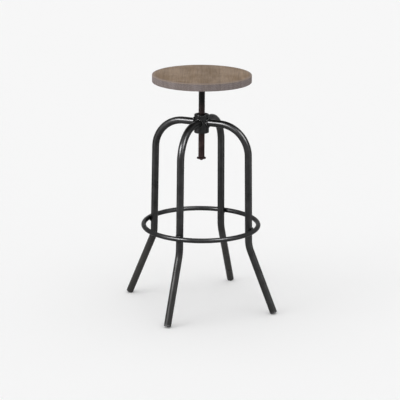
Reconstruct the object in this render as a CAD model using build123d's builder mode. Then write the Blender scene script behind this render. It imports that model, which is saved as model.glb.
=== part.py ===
from build123d import *

import os
from math import cos, floor, radians, sin, tan

# Industrial stool: a round wooden seat on a lifting screw, a hub, four bent tube legs and a foot ring.
# Millimetres, +Z up. The origin is on the floor, in the middle of the four feet.

# Seat board
SEAT_TOP_HEIGHT = 749.4
SEAT_DIAMETER = 310.0
SEAT_THICKNESS = 23.5
SEAT_TOP_ROUND = 3.0
SEAT_BOTTOM_ROUND = 1.5

# Steel plate under the seat and the wood screws through it
PLATE_DIAMETER = 130.0
PLATE_THICKNESS = 4.0
PLATE_EDGE_ROUND = 0.8
SEAT_SCREW_COUNT = 4
SEAT_SCREW_CIRCLE_DIAMETER = 100.0
SEAT_SCREW_DIAMETER = 4.5
SEAT_SCREW_BITE = 13.0
SEAT_SCREW_HEAD_DIAMETER = 9.0
SEAT_SCREW_HEAD_HEIGHT = 3.0
SEAT_SCREW_HEAD_ROUND = 1.4
DRIVE_SLOT_LENGTH = 4.6
DRIVE_SLOT_WIDTH = 1.0
DRIVE_SLOT_DEPTH = 1.5
PILOT_TIP_ROOM = 1.0
HOLE_CLEARANCE = 0.05

# Collar welded under the plate, which holds the spigot of the screw with a cross pin
COLLAR_DIAMETER = 36.0
COLLAR_HEIGHT = 20.0
COLLAR_CHAMFER = 1.0
COLLAR_WELD = 3.0
SPIGOT_DIAMETER = 15.0
PIN_DIAMETER = 5.0
PIN_RECESS = 0.5

# Lifting screw: grooves at the pitch and profile of its trapezoidal thread stand in for the helix
THREAD_DIAMETER = 20.0
THREAD_PITCH = 4.0
THREAD_DEPTH = 2.25
THREAD_CREST = 1.46
THREAD_FLANK_ANGLE = 15.0
THREAD_CLEARANCE = 0.35
SCREW_BELOW_HUB = 78.0

# Stop at the lower end of the screw: a loose washer on a shoulder bolt
WASHER_DIAMETER = 28.5
WASHER_THICKNESS = 5.5
WASHER_RIM = 3.4
WASHER_LAND_DIAMETER = 19.0
WASHER_CLEARANCE = 0.4
WASHER_PLAY = 0.3
SHOULDER_DIAMETER = 9.0
STOP_BOLT_DIAMETER = 6.0
STOP_BOLT_DEPTH = 15.0
STOP_HEAD_DIAMETER = 12.0
STOP_HEAD_HEIGHT = 5.7
STOP_HEAD_RIM = 1.6

# Hub sleeve and the nut seated in it
HUB_BELOW_ARM = 33.0
HUB_HEIGHT = 59.0
HUB_DIAMETER = 46.5
HUB_BORE = 34.0
HUB_LIP = 6.0
HUB_LIP_CLEARANCE = 0.8
HUB_TOP_ROUND = 2.5
HUB_BOTTOM_ROUND = 1.5
HUB_WELD = 2.5
NUT_HEIGHT = 50.0

# Bent tube legs, given by the corners of their centre line before it is bent
TUBE_DIAMETER = 22.2
TUBE_WALL = 1.5
ARM_HEIGHT = 597.0
SHOULDER_RADIUS = 156.8
SHOULDER_BEND = 96.0
KNEE_RADIUS = 164.4
KNEE_HEIGHT = 214.0
KNEE_BEND = 92.0
LEG_SPLAY_ANGLE = 22.9
LEG_CORNERS = ("front_right", "back_right", "back_left", "front_left")
FIRST_LEG_ANGLE = -45.0
LEG_STEP_ANGLE = 90.0

# Plugs in the feet, cut flat where they stand on the floor
PLUG_HEAD_HEIGHT = 5.0
PLUG_HEAD_ROUND = 2.0
PLUG_STEM_LENGTH = 22.0
PLUG_STEM_WALL = 2.5
PLUG_STEM_CHAMFER = 1.0
PLUG_CLEARANCE = 0.1
FLOOR_FLAT_DEPTH = 0.6

# Foot ring, welded to the outside of each leg
RING_HEIGHT = 264.7
RING_TUBE_DIAMETER = 15.0
RING_TUBE_WALL = 2.0
RING_GAP = 0.05
RING_WELD_RADIUS = 2.6
RING_WELD_SINK = 0.5
RING_WELD_ANGLE = 70.0

# Heights that follow from the sizes above
hub_bottom = ARM_HEIGHT - HUB_BELOW_ARM
seat_bottom = SEAT_TOP_HEIGHT - SEAT_THICKNESS
plate_bottom = seat_bottom - PLATE_THICKNESS
collar_bottom = plate_bottom - COLLAR_HEIGHT
pin_height = collar_bottom + COLLAR_HEIGHT / 2
screw_bottom = hub_bottom - SCREW_BELOW_HUB
washer_bottom = screw_bottom - WASHER_PLAY - WASHER_THICKNESS
nut_bottom = hub_bottom + HUB_LIP
bolt_hole_end = screw_bottom + STOP_BOLT_DEPTH + PILOT_TIP_ROOM

# Radii that pieces share
tube_radius = TUBE_DIAMETER / 2
tube_bore_radius = tube_radius - TUBE_WALL
hub_radius = HUB_DIAMETER / 2
spigot_hole_radius = SPIGOT_DIAMETER / 2 + HOLE_CLEARANCE
pin_hole_radius = PIN_DIAMETER / 2 + HOLE_CLEARANCE
seat_screw_hole_radius = SEAT_SCREW_DIAMETER / 2 + HOLE_CLEARANCE
stop_bolt_hole_radius = STOP_BOLT_DIAMETER / 2 + HOLE_CLEARANCE

# Direction of each leg from the axis, in degrees
leg_angles = {corner: FIRST_LEG_ANGLE + number * LEG_STEP_ANGLE for number, corner in enumerate(LEG_CORNERS)}

# The middle of each foot's end stands so high that the flat cut at the floor has its depth
splay_sine = sin(radians(LEG_SPLAY_ANGLE))
splay_cosine = cos(radians(LEG_SPLAY_ANGLE))
foot_end_height = (
    (tube_radius - PLUG_HEAD_ROUND) * splay_sine + PLUG_HEAD_ROUND * (1 - splay_cosine) - FLOOR_FLAT_DEPTH
)
foot_end_radius = KNEE_RADIUS + (KNEE_HEIGHT - foot_end_height) * tan(radians(LEG_SPLAY_ANGLE))
tube_end_radius = foot_end_radius - PLUG_HEAD_HEIGHT * splay_sine
tube_end_height = foot_end_height + PLUG_HEAD_HEIGHT * splay_cosine

# The ring is as wide as the legs at its height let it be
leg_lean = (KNEE_RADIUS - SHOULDER_RADIUS) / (ARM_HEIGHT - KNEE_HEIGHT)
leg_radius_at_ring = KNEE_RADIUS - leg_lean * (RING_HEIGHT - KNEE_HEIGHT)
ring_radius = leg_radius_at_ring + tube_radius + RING_GAP + RING_TUBE_DIAMETER / 2

os.makedirs("parts", exist_ok=True)


def save(piece, name):
    """Label a finished piece and write it to its own file."""
    piece.part.label = name
    export_step(piece.part, f"parts/{name}.step")


def leg_plane(angle):
    """Upright plane of one leg: local X runs outward from the stool's axis, local Y runs up."""
    outward = Vector(cos(radians(angle)), sin(radians(angle)), 0)
    return Plane(origin=(0, 0, 0), x_dir=outward, z_dir=outward.cross(Vector(0, 0, 1)))


def upright_plane(angle):
    """Plane square to a leg's upright at the ring's height: local X points out, Z runs up the leg."""
    flat = leg_plane(angle)
    along = flat.from_local_coords(Vector(-leg_lean, 1, 0))
    origin = flat.from_local_coords(Vector(leg_radius_at_ring, RING_HEIGHT, 0))
    outward = flat.from_local_coords(Vector(1, leg_lean, 0))
    return Plane(origin=origin, x_dir=outward, z_dir=along)


def foot_plane(angle):
    """Plane of the end of a foot: Z runs up the splayed tube."""
    flat = leg_plane(angle)
    origin = flat.from_local_coords(Vector(foot_end_radius, foot_end_height, 0))
    along = flat.from_local_coords(Vector(-splay_sine, splay_cosine, 0))
    return Plane(origin=origin, z_dir=along)


# Seat board with pilot holes for its screws
with BuildPart() as seat_board:
    with BuildSketch(Plane.XY.offset(seat_bottom)):
        Circle(SEAT_DIAMETER / 2)
    extrude(amount=SEAT_THICKNESS)
    fillet(seat_board.edges().group_by(Axis.Z)[-1], SEAT_TOP_ROUND)
    fillet(seat_board.edges().group_by(Axis.Z)[0], SEAT_BOTTOM_ROUND)
    with BuildSketch(Plane.XY.offset(seat_bottom)):
        with PolarLocations(SEAT_SCREW_CIRCLE_DIAMETER / 2, SEAT_SCREW_COUNT):
            Circle(seat_screw_hole_radius)
    extrude(amount=SEAT_SCREW_BITE + PILOT_TIP_ROOM, mode=Mode.SUBTRACT)
save(seat_board, "seat_board")

# Steel plate under the seat
with BuildPart() as seat_plate:
    with BuildSketch(Plane.XY.offset(plate_bottom)):
        Circle(PLATE_DIAMETER / 2)
    extrude(amount=PLATE_THICKNESS)
    fillet(seat_plate.edges().group_by(Axis.Z)[0], PLATE_EDGE_ROUND)
    with BuildSketch(Plane.XY.offset(plate_bottom)):
        with PolarLocations(SEAT_SCREW_CIRCLE_DIAMETER / 2, SEAT_SCREW_COUNT):
            Circle(seat_screw_hole_radius)
    extrude(amount=PLATE_THICKNESS, mode=Mode.SUBTRACT)
save(seat_plate, "seat_plate")

# Wood screws, each a separate solid: shank, domed head and crossed drive slots
with BuildPart() as seat_screws:
    with BuildSketch(Plane.XY.offset(plate_bottom - SEAT_SCREW_HEAD_HEIGHT)):
        with PolarLocations(SEAT_SCREW_CIRCLE_DIAMETER / 2, SEAT_SCREW_COUNT):
            Circle(SEAT_SCREW_HEAD_DIAMETER / 2)
    extrude(amount=SEAT_SCREW_HEAD_HEIGHT)
    fillet(seat_screws.edges().group_by(Axis.Z)[0], SEAT_SCREW_HEAD_ROUND)
    with BuildSketch(Plane.XY.offset(plate_bottom)):
        with PolarLocations(SEAT_SCREW_CIRCLE_DIAMETER / 2, SEAT_SCREW_COUNT):
            Circle(SEAT_SCREW_DIAMETER / 2)
    extrude(amount=PLATE_THICKNESS + SEAT_SCREW_BITE)
    with BuildSketch(Plane.XY.offset(plate_bottom - SEAT_SCREW_HEAD_HEIGHT)):
        with PolarLocations(SEAT_SCREW_CIRCLE_DIAMETER / 2, SEAT_SCREW_COUNT):
            Rectangle(DRIVE_SLOT_LENGTH, DRIVE_SLOT_WIDTH)
            Rectangle(DRIVE_SLOT_WIDTH, DRIVE_SLOT_LENGTH)
    extrude(amount=DRIVE_SLOT_DEPTH, mode=Mode.SUBTRACT)
save(seat_screws, "seat_screws")

# Collar under the plate, with the spigot's bore and the cross pin's hole
with BuildPart() as screw_collar:
    with BuildSketch(Plane.XY.offset(collar_bottom)):
        Circle(COLLAR_DIAMETER / 2)
    extrude(amount=COLLAR_HEIGHT)
    chamfer(screw_collar.edges().group_by(Axis.Z)[0], COLLAR_CHAMFER)
    with BuildSketch(Plane.XY.offset(collar_bottom)):
        Circle(spigot_hole_radius)
    extrude(amount=COLLAR_HEIGHT, mode=Mode.SUBTRACT)
    with BuildSketch(Plane.YZ):
        with Locations((0, pin_height)):
            Circle(pin_hole_radius)
    extrude(amount=COLLAR_DIAMETER, both=True, mode=Mode.SUBTRACT)
save(screw_collar, "screw_collar")

# Weld bead in the corner between collar and plate
with BuildPart() as collar_weld:
    with BuildSketch(Plane.XZ):
        with BuildLine():
            Polyline(
                (COLLAR_DIAMETER / 2, plate_bottom),
                (COLLAR_DIAMETER / 2 + COLLAR_WELD, plate_bottom),
                (COLLAR_DIAMETER / 2, plate_bottom - COLLAR_WELD),
                close=True,
            )
        make_face()
    revolve(axis=Axis.Z)
save(collar_weld, "collar_weld")

# Cross pin through collar and spigot
with BuildPart() as collar_pin:
    with BuildSketch(Plane.YZ):
        with Locations((0, pin_height)):
            Circle(PIN_DIAMETER / 2)
    extrude(amount=COLLAR_DIAMETER / 2 - PIN_RECESS, both=True)
save(collar_pin, "collar_pin")

# Lifting screw: grooved rod, spigot with its pin hole, and the stop bolt's hole in the lower end
crest_radius = THREAD_DIAMETER / 2
root_radius = crest_radius - THREAD_DEPTH
flank_rise = THREAD_DEPTH * tan(radians(THREAD_FLANK_ANGLE))
root_width = THREAD_PITCH - THREAD_CREST - 2 * flank_rise
groove_count = floor((collar_bottom - screw_bottom) / THREAD_PITCH)
rod_outline = [(stop_bolt_hole_radius, screw_bottom), (crest_radius, screw_bottom)]
for groove in range(groove_count):
    groove_bottom = screw_bottom + THREAD_CREST + groove * THREAD_PITCH
    rod_outline.append((crest_radius, groove_bottom))
    rod_outline.append((root_radius, groove_bottom + flank_rise))
    rod_outline.append((root_radius, groove_bottom + flank_rise + root_width))
    rod_outline.append((crest_radius, groove_bottom + 2 * flank_rise + root_width))
rod_outline.append((crest_radius, collar_bottom))
rod_outline.append((SPIGOT_DIAMETER / 2, collar_bottom))
rod_outline.append((SPIGOT_DIAMETER / 2, plate_bottom))
rod_outline.append((0, plate_bottom))
rod_outline.append((0, bolt_hole_end))
rod_outline.append((stop_bolt_hole_radius, bolt_hole_end))
with BuildPart() as lift_screw:
    with BuildSketch(Plane.XZ):
        with BuildLine():
            Polyline(rod_outline, close=True)
        make_face()
    revolve(axis=Axis.Z)
    with BuildSketch(Plane.YZ):
        with Locations((0, pin_height)):
            Circle(pin_hole_radius)
    extrude(amount=SPIGOT_DIAMETER, both=True, mode=Mode.SUBTRACT)
save(lift_screw, "lift_screw")

# Loose stop washer, coned on top
with BuildPart() as stop_washer:
    with BuildSketch(Plane.XZ):
        with BuildLine():
            Polyline(
                (SHOULDER_DIAMETER / 2 + WASHER_CLEARANCE, washer_bottom),
                (WASHER_DIAMETER / 2, washer_bottom),
                (WASHER_DIAMETER / 2, washer_bottom + WASHER_RIM),
                (WASHER_LAND_DIAMETER / 2, washer_bottom + WASHER_THICKNESS),
                (SHOULDER_DIAMETER / 2 + WASHER_CLEARANCE, washer_bottom + WASHER_THICKNESS),
                close=True,
            )
        make_face()
    revolve(axis=Axis.Z)
save(stop_washer, "stop_washer")

# Shoulder bolt that carries the washer: domed head, shoulder against the screw's end, threaded shank
with BuildPart() as stop_bolt:
    with BuildSketch(Plane.XZ):
        with BuildLine():
            head_rim_height = washer_bottom - STOP_HEAD_RIM
            Polyline(
                (0, washer_bottom - STOP_HEAD_HEIGHT),
                (0, screw_bottom + STOP_BOLT_DEPTH),
                (STOP_BOLT_DIAMETER / 2, screw_bottom + STOP_BOLT_DEPTH),
                (STOP_BOLT_DIAMETER / 2, screw_bottom),
                (SHOULDER_DIAMETER / 2, screw_bottom),
                (SHOULDER_DIAMETER / 2, washer_bottom),
                (STOP_HEAD_DIAMETER / 2, washer_bottom),
                (STOP_HEAD_DIAMETER / 2, head_rim_height),
            )
            EllipticalCenterArc(
                (0, head_rim_height),
                STOP_HEAD_DIAMETER / 2,
                STOP_HEAD_HEIGHT - STOP_HEAD_RIM,
                start_angle=270,
                arc_size=90,
            )
        make_face()
    revolve(axis=Axis.Z)
save(stop_bolt, "stop_bolt")

# Hub sleeve: a bore for the nut from above, and a lip below with room for the screw
with BuildPart() as hub_sleeve:
    with BuildSketch(Plane.XY.offset(hub_bottom)):
        Circle(hub_radius)
    extrude(amount=HUB_HEIGHT)
    fillet(hub_sleeve.edges().group_by(Axis.Z)[-1], HUB_TOP_ROUND)
    fillet(hub_sleeve.edges().group_by(Axis.Z)[0], HUB_BOTTOM_ROUND)
    with BuildSketch(Plane.XY.offset(nut_bottom)):
        Circle(HUB_BORE / 2)
    extrude(amount=HUB_HEIGHT, mode=Mode.SUBTRACT)
    with BuildSketch(Plane.XY.offset(hub_bottom)):
        Circle(THREAD_DIAMETER / 2 + HUB_LIP_CLEARANCE)
    extrude(amount=HUB_LIP, mode=Mode.SUBTRACT)
save(hub_sleeve, "hub_sleeve")

# Nut in the hub, a plain bore round the screw
with BuildPart() as thread_nut:
    with BuildSketch(Plane.XY.offset(nut_bottom)):
        Circle(HUB_BORE / 2 - HOLE_CLEARANCE)
        Circle(THREAD_DIAMETER / 2 + THREAD_CLEARANCE, mode=Mode.SUBTRACT)
    extrude(amount=NUT_HEIGHT)
save(thread_nut, "thread_nut")

# Legs: one bent tube each, coped round at the hub
for corner, angle in leg_angles.items():
    with BuildPart() as leg:
        with BuildLine(leg_plane(angle)) as route:
            FilletPolyline(
                (0, ARM_HEIGHT),
                (SHOULDER_RADIUS, ARM_HEIGHT),
                (KNEE_RADIUS, KNEE_HEIGHT),
                (tube_end_radius, tube_end_height),
                radius=(SHOULDER_BEND, KNEE_BEND),
            )
        with BuildSketch(Plane(origin=route.line @ 0, z_dir=route.line % 0)):
            Circle(tube_radius)
            Circle(tube_bore_radius, mode=Mode.SUBTRACT)
        sweep()
        with BuildSketch(Plane.XY.offset(hub_bottom)):
            Circle(hub_radius)
        extrude(amount=HUB_HEIGHT, mode=Mode.SUBTRACT)
    save(leg, f"leg_{corner}")

# Plugs in the feet: a hollow stem in the tube, a head across its end, flat on the floor
for corner, angle in leg_angles.items():
    end = foot_plane(angle)
    stem_radius = tube_bore_radius - PLUG_CLEARANCE
    with BuildPart() as foot_plug:
        with BuildSketch(end):
            Circle(tube_radius)
        extrude(amount=PLUG_HEAD_HEIGHT)
        fillet(foot_plug.edges().sort_by(Axis(end.origin, end.z_dir))[0], PLUG_HEAD_ROUND)
        with BuildSketch(end.offset(PLUG_HEAD_HEIGHT)):
            Circle(stem_radius)
        extrude(amount=PLUG_STEM_LENGTH)
        chamfer(foot_plug.edges().sort_by(Axis(end.origin, end.z_dir))[-1], PLUG_STEM_CHAMFER)
        with BuildSketch(end.offset(PLUG_HEAD_HEIGHT)):
            Circle(stem_radius - PLUG_STEM_WALL)
        extrude(amount=PLUG_STEM_LENGTH, mode=Mode.SUBTRACT)
        with Locations((end.origin.X, end.origin.Y, 0)):
            Box(
                2 * TUBE_DIAMETER,
                2 * TUBE_DIAMETER,
                TUBE_DIAMETER,
                align=(Align.CENTER, Align.CENTER, Align.MAX),
                mode=Mode.SUBTRACT,
            )
    save(foot_plug, f"foot_plug_{corner}")

# Foot ring
with BuildPart() as foot_ring:
    with BuildSketch(Plane.XZ):
        with Locations((ring_radius, RING_HEIGHT)):
            Circle(RING_TUBE_DIAMETER / 2)
            Circle(RING_TUBE_DIAMETER / 2 - RING_TUBE_WALL, mode=Mode.SUBTRACT)
    revolve(axis=Axis.Z)
save(foot_ring, "foot_ring")

# Weld bead round an arm where it meets the hub: the fillet between the two, without them
arm_plane = Plane(origin=(0, 0, ARM_HEIGHT), z_dir=leg_plane(0).x_dir)
with BuildPart() as hub_bead:
    with BuildSketch(Plane.XY.offset(hub_bottom)):
        Circle(hub_radius)
    extrude(amount=HUB_HEIGHT)
    with BuildSketch(arm_plane):
        Circle(tube_radius)
    extrude(amount=HUB_DIAMETER)
    fillet(hub_bead.edges().filter_by(GeomType.BSPLINE), HUB_WELD)
    with BuildSketch(Plane.XY.offset(hub_bottom)):
        Circle(hub_radius)
    extrude(amount=HUB_HEIGHT, mode=Mode.SUBTRACT)
    with BuildSketch(arm_plane):
        Circle(tube_radius)
    extrude(amount=HUB_DIAMETER, mode=Mode.SUBTRACT)

with BuildPart() as hub_welds:
    for angle in leg_angles.values():
        add(hub_bead.part, rotation=(0, 0, angle))
save(hub_welds, "hub_welds")

# Weld beads above and below the ring, bent round the outside of a leg
bead_height = RING_TUBE_DIAMETER / 2 - RING_WELD_SINK
with BuildPart() as ring_beads:
    for side in (-1, 1):
        with BuildLine(upright_plane(0).offset(side * bead_height)) as bead:
            CenterArc((0, 0), tube_radius + RING_WELD_RADIUS - RING_WELD_SINK, -RING_WELD_ANGLE / 2, RING_WELD_ANGLE)
        with BuildSketch(Plane(origin=bead.line @ 0, z_dir=bead.line % 0)):
            Circle(RING_WELD_RADIUS)
        sweep()
        with Locations(bead.line @ 0, bead.line @ 1):
            Sphere(RING_WELD_RADIUS)
    with BuildSketch(upright_plane(0)):
        Circle(tube_radius)
    extrude(amount=RING_TUBE_DIAMETER, both=True, mode=Mode.SUBTRACT)
    with Locations((0, 0, RING_HEIGHT)):
        Torus(ring_radius, RING_TUBE_DIAMETER / 2, mode=Mode.SUBTRACT)

with BuildPart() as ring_welds:
    for angle in leg_angles.values():
        add(ring_beads.part, rotation=(0, 0, angle))
save(ring_welds, "ring_welds")
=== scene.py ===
import math
from collections import namedtuple

import bmesh
import bpy
from bpy.props import FloatProperty, FloatVectorProperty, IntProperty, PointerProperty
from mathutils import Matrix, Vector


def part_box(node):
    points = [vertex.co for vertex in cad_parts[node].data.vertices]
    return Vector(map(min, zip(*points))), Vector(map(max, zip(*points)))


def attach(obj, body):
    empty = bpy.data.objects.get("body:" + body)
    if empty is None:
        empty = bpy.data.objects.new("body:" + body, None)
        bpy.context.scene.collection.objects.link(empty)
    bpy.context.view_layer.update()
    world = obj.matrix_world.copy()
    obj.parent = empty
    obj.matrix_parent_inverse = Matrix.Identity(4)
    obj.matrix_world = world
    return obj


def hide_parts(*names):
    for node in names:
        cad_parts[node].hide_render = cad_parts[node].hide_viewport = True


bl_info = {
    "name": "Industrial Stool",
    "version": (1, 0, 0),
    "blender": (4, 5, 0),
    "location": "View3D > Sidebar > Stool",
    "description": "Dresses the packed stool: seat, screw, legs, weld beads, finishes and a plain stage",
    "category": "Add Mesh",
}

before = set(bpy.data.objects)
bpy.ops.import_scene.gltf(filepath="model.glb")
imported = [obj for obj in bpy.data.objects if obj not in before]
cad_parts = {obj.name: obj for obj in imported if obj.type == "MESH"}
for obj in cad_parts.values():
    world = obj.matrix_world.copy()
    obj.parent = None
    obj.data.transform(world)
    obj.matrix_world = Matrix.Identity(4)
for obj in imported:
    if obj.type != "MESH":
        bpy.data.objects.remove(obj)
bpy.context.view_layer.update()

LEG_ANGLES = {"front_right": -45.0, "back_right": 45.0, "back_left": 135.0, "front_left": -135.0}

SEAT_LOW, SEAT_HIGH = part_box("seat_board")
HUB_LOW, HUB_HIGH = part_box("hub_sleeve")
HUB_RADIUS = (HUB_HIGH[0] - HUB_LOW[0]) / 2
SCREW_LOW, SCREW_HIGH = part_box("lift_screw")
SCREW_RADIUS = (SCREW_HIGH[0] - SCREW_LOW[0]) / 2
RING_LOW, RING_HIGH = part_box("foot_ring")
RING_TUBE_RADIUS = (RING_HIGH[2] - RING_LOW[2]) / 2
RING_HEIGHT = (RING_HIGH[2] + RING_LOW[2]) / 2
RING_RADIUS = (RING_HIGH[0] - RING_LOW[0]) / 2 - RING_TUBE_RADIUS

# How finely the shapes are divided.
ROUND_SEGMENTS = 6
THREAD_STEPS = 40
SPIGOT_SIDES = 64
TUBE_SIDES = 48
SHOULDER_STEPS = 36
KNEE_STEPS = 12
RIPPLE_SEGMENTS = 12
RIPPLE_RINGS = 8
HUB_RIPPLES = 34
RING_RIPPLES = 9
BEAD_VOXEL = 0.0005
BEAD_SMOOTHING = 2

# The angles from which edges look sharp, and how far up the faces of the board's top point at least.
BOARD_SHARP = math.radians(40)
SCREW_SHARP = math.radians(35)
TUBE_SHARP = math.radians(50)
TOP_SLOPE = 0.9

# The thread: its turns are merged where they meet, and its ends are cut exactly.
WIND_MERGE = 0.00001
TURN_MERGE = 0.0001
CUT_THRESHOLD = 0.000001

# The weld ripples, as shares of their radius, and half the angle of a bead at the foot ring.
RIPPLE_FLATNESS = 0.55
HUB_BEAD_LIFT = 0.35
RING_BEAD_REACH = 0.75
RING_BEAD_SINK = 0.25
RING_BEAD_SPAN = math.radians(34)

# Socket numbers of a mix node's colours, whose names aren't unique.
MIX_SHARE, MIX_FIRST, MIX_SECOND, MIX_RESULT = 0, 6, 7, 2

# A noise pattern: its scale, detail and roughness, and how much it is squeezed along each axis.
Pattern = namedtuple("Pattern", "scale detail roughness stretch", defaults=(3.0, 0.55, (1, 1, 1)))

# The wood's patterns, squeezed along, across and through the grain, and the ticks of the saw on the rim.
WOOD_PATTERNS = {
    "fibre": Pattern(1.0, detail=5.0, roughness=0.60, stretch=(7, 95, 30)),
    "pores": Pattern(1.0, detail=2.0, stretch=(40, 1100, 170)),
    "streaks": Pattern(1.0, detail=4.0, roughness=0.65, stretch=(11, 380, 60)),
    "patches": Pattern(13.0, stretch=(1, 1.7, 1)),
    "smudges": Pattern(62.0, roughness=0.6, stretch=(1, 1.5, 1)),
}
TICKS = Pattern(1.0, roughness=0.6, stretch=(520, 520, 14))
BANDS = {"Scale": 24.0, "Distortion": 7.0, "Detail": 3.0}
BANDS_STRETCH = (0.12, 1, 1)

# Tones laid over the wood: colours along a pattern, and how strongly they show on the face and on the edge.
Overlay = namedtuple("Overlay", "pattern stops face_share edge_share")
WOOD_OVERLAYS = (
    Overlay(
        "fibre", ((0.30, (0.36, 0.34, 0.33)), (0.50, (0.5, 0.5, 0.5)), (0.72, (0.63, 0.63, 0.63))),
        face_share=0.42, edge_share=0.42,
    ),
    Overlay("bands", ((0.0, (0.45, 0.44, 0.43)), (0.7, (0.53, 0.53, 0.53))), face_share=0.4, edge_share=0.4),
    Overlay(
        "patches", ((0.36, (0.42, 0.40, 0.37)), (0.64, (0.57, 0.58, 0.60))),
        face_share=1.0, edge_share=0.45,
    ),
)

# Marks in the wood: from one level of a pattern to another, a lighter or darker tone grows to its share.
Mark = namedtuple("Mark", "pattern levels share tone")
WOOD_MARKS = (
    Mark("smudges", levels=(0.60, 0.74), share=0.35, tone=0.55),
    Mark("smudges", levels=(0.38, 0.27), share=0.35, tone=1.45),
    Mark("pores", levels=(0.60, 0.74), share=0.32, tone=0.5),
    Mark("streaks", levels=(0.50, 0.70), share=0.42, tone=0.48),
    Mark("streaks", levels=(0.50, 0.30), share=0.30, tone=1.5),
)
TICK_MARKS = (
    Mark("ticks", levels=(0.57, 0.70), share=0.18, tone=0.45),
    Mark("ticks", levels=(0.42, 0.28), share=0.15, tone=1.5),
)

# The staves: a tone for each, how far these tones differ, and the dark joints between them.
STAVE_TONES = (1.06, 1.04, 0.90, 1.0, 1.03, 0.99)
FACE_STAVE_SPREAD, EDGE_STAVE_SPREAD = 1.0, 0.3
JOINT_WIDTH = 0.0007
JOINT_SHARE, JOINT_TONE = 0.55, 0.35

# The growth rings on the rim, round a heart that lies under the board and differs from stave to stave.
HEART_WANDER = 2.4
HEART_MIDDLE, HEART_SWING = 0.5, 0.30
HEART_DEPTH, HEART_DEPTH_SWING = 0.014, 0.009
GROWTH_WAVER = 0.008
GROWTH_SPACING = 0.0062
GROWTH_LEVELS = (0.0, 0.9)
GROWTH_SHARE, GROWTH_TONE = 0.36, 0.5

# Wear and painted light on the seat: a grey ring on the face, a pale line on the rim's upper edge that is
# partly wear and partly a painted highlight where the rounded edge catches light, and a painted shade at the
# rim's foot.
FACE_WEAR_WIDTH = 0.009
FACE_WEAR_SHARE, FACE_WEAR_TONE = 0.75, 1.05
# Painted highlight, partly wear: the pale line on the rim's rounded upper edge.
RUB_AND_HIGHLIGHT_START, RUB_AND_HIGHLIGHT_END = 0.0004, 0.0006
RUB_AND_HIGHLIGHT_SHARE, RUB_AND_HIGHLIGHT_TONE = 0.8, 1.4
# Painted shade: the rim darkens towards its foot, next to the board's underside.
PAINTED_FOOT_SHADE_HEIGHT = 0.004
PAINTED_FOOT_SHADE_SHARE, PAINTED_FOOT_SHADE_TONE = 0.3, 0.6

# The wood's surface: roughness along the fibres, gloss, and the relief of fibres and pores.
FIBRE_LEVELS = (0.2, 0.8)
WOOD_ROUGHNESS = (0.60, 0.76)
WOOD_GLOSS = 0.07
PORE_SINK = 0.6
WOOD_RELIEF, WOOD_RELIEF_DEPTH = 0.35, 0.0006

# Paints: share of the frame's colour, roughness, scale and strength of the grain, scale of the mottling.
Paint = namedtuple("Paint", "shade roughness grain relief mottle")
PAINTS = {
    "frame_paint": Paint(shade=1.0, roughness=0.31, grain=1100.0, relief=0.05, mottle=38.0),
    "hub_paint": Paint(shade=0.68, roughness=0.33, grain=240.0, relief=0.38, mottle=150.0),
    "weld_paint": Paint(shade=0.8, roughness=0.24, grain=420.0, relief=0.35, mottle=200.0),
}
MOTTLE_DETAIL = 4.0
MOTTLE_LEVELS = (0.25, 0.75)
MOTTLE_SHADES = ((0.30, 0.75), (0.52, 1.0), (0.78, 1.3))
MOTTLE_GLOSS = (0.8, 1.2)
PAINT_GLOSS = 0.2
GRAIN_DEPTH = 0.4
METAL_LEVEL = 0.92
METAL_TINT = (0.55, 0.55, 0.55, 1.0)

# Dust on the paint: low down, less of it in front, in specks, and dull.
DUST_COLOR = (0.052, 0.0495, 0.0455)
DUST_HEIGHTS = (0.25, 0.15)
DUST_DEPTHS, DUST_DEPTH_SHARES = (-0.06, 0.06), (0.3, 1.0)
DUST_SPECKS = Pattern(210.0, detail=4.0, roughness=0.65)
SPECK_LEVELS, SPECK_SHARES = (0.40, 0.66), (0.5, 1.0)
DUST_SHARE = 0.8
DUST_DULLING = 0.6

# The screw's steel: brown stains, turning marks, and a painted shade above the hub, a darker grey where the
# seat shades the screw.
STEEL_STAIN = Pattern(60.0, detail=4.0)
STAIN_LEVELS = (0.25, 0.75)
STAIN_SHADES = ((0.3, 0.6), (0.55, 1.0), (0.8, 1.6))
STEEL_MARKS = Pattern(1.0, detail=1.0, stretch=(40, 40, 2600))
STEEL_ROUGHNESS = (0.28, 0.42)
STEEL_RELIEF, STEEL_RELIEF_DEPTH = 0.08, 0.0002
# Painted shade on the screw: how far below and above the hub's top it fades in, and its darkness as a share
# of the steel's grey.
PAINTED_SHADE_BELOW, PAINTED_SHADE_ABOVE = 0.01, 0.04
PAINTED_SHADE_TONE = 0.4

# The plastic of the plugs: a moulded grain and scuffs.
PLUG_GRAIN = Pattern(1400.0, detail=2.0)
PLUG_SCUFFS = Pattern(160.0, detail=4.0)
SCUFF_SHADES = ((0.45, 1.0), (0.72, 2.2))
PLUG_ROUGHNESS = 0.62
PLUG_RELIEF, PLUG_RELIEF_DEPTH = 0.15, 0.0003

# The CAD nodes that show, by their finish.
FINISHED_NODES = {
    "frame_paint": ["foot_ring"],
    "hub_paint": ["hub_sleeve", "seat_plate", "screw_collar", "collar_weld"],
    "blackened_steel": ["thread_nut", "stop_washer", "stop_bolt", "collar_pin", "seat_screws"],
    "black_plastic": [f"foot_plug_{corner}" for corner in LEG_ANGLES],
}

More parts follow.
